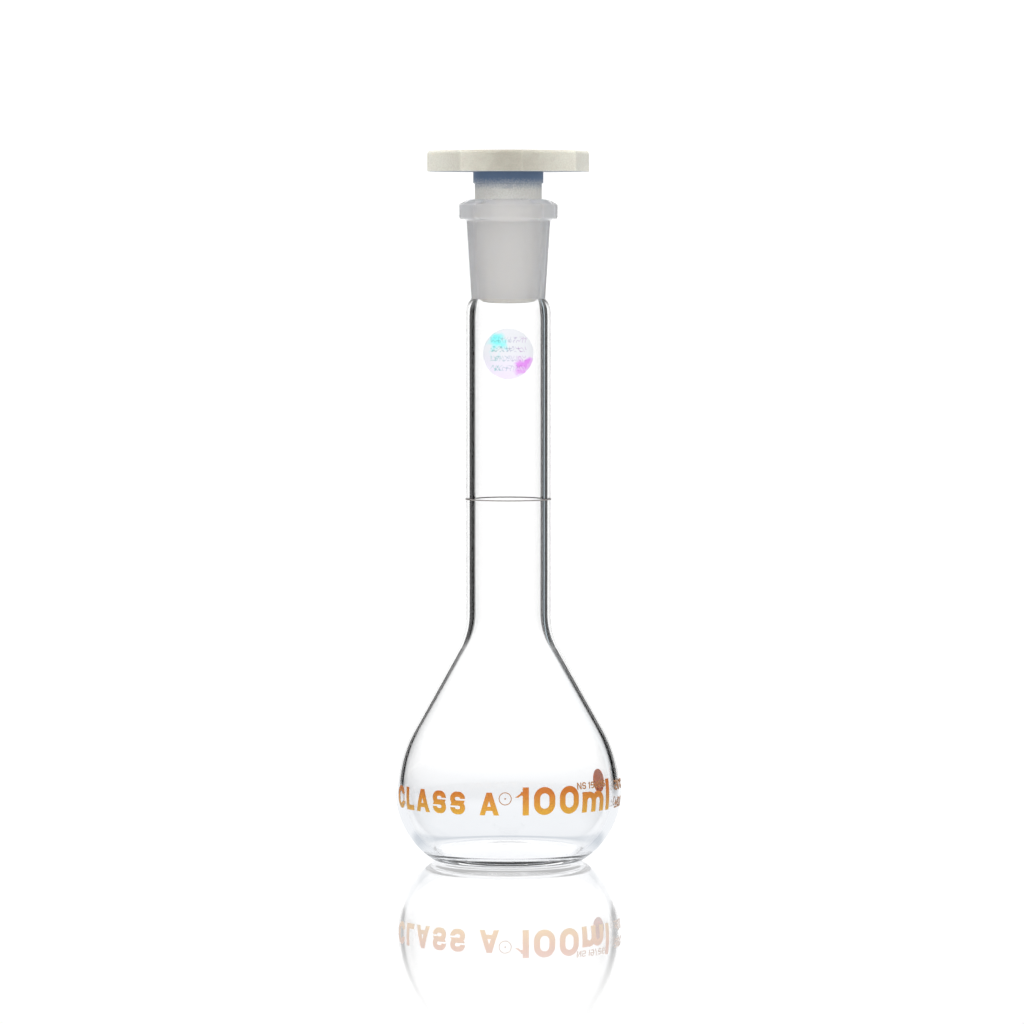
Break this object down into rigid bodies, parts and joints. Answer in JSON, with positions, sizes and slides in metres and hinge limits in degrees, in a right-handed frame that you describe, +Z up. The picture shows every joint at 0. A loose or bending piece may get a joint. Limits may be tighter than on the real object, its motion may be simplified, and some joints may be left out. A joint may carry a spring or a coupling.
{
  "type": "volumetric flask",
  "caption": "Wide-neck glass volumetric flask with a pear-shaped bulb, a ring mark on the neck, a ground taper socket and a lift-out octagonal plastic stopper.",
  "frame": {"origin": "centre of the base on the table, which is the bottom centre of the whole part", "axes": "+Z up along the flask's axis; the large lettering and the foil seal face -Y, and +X is to the right of that view"},
  "size_m": [0.06, 0.0601, 0.1888],
  "materials": {
    "clear_glass": "clear blown borosilicate glass, fire-polished",
    "ground_glass": "borosilicate glass, bore ground to a fine frost",
    "polyethylene": "natural translucent polyethylene, lightly mottled moulded surface",
    "ring_enamel": "thin fired grey line",
    "amber_enamel": "fired amber enamel, slightly see-through",
    "fine_enamel": "fired brown-amber enamel in fine strokes",
    "iridescent_foil": "thin pale iridescent foil"
  },
  "bodies": {
    "flask": {"flask_body": "clear_glass", "ground_socket": "ground_glass", "graduation_ring": "ring_enamel", "class_print": "amber_enamel", "capacity_print": "amber_enamel", "target_print": "fine_enamel", "joint_size_print": "fine_enamel", "temperature_print": "fine_enamel", "tolerance_print": "fine_enamel", "colour_dot": "amber_enamel", "foil_seal": "iridescent_foil"},
    "stopper": {"stopper": "polyethylene"}
  },
  "joints": [
    {"name": "stopper_lift", "type": "slide", "parent": "flask", "child": "stopper", "axis": [0, 0, 1], "range_m": [0, 0.04]}
  ]
}
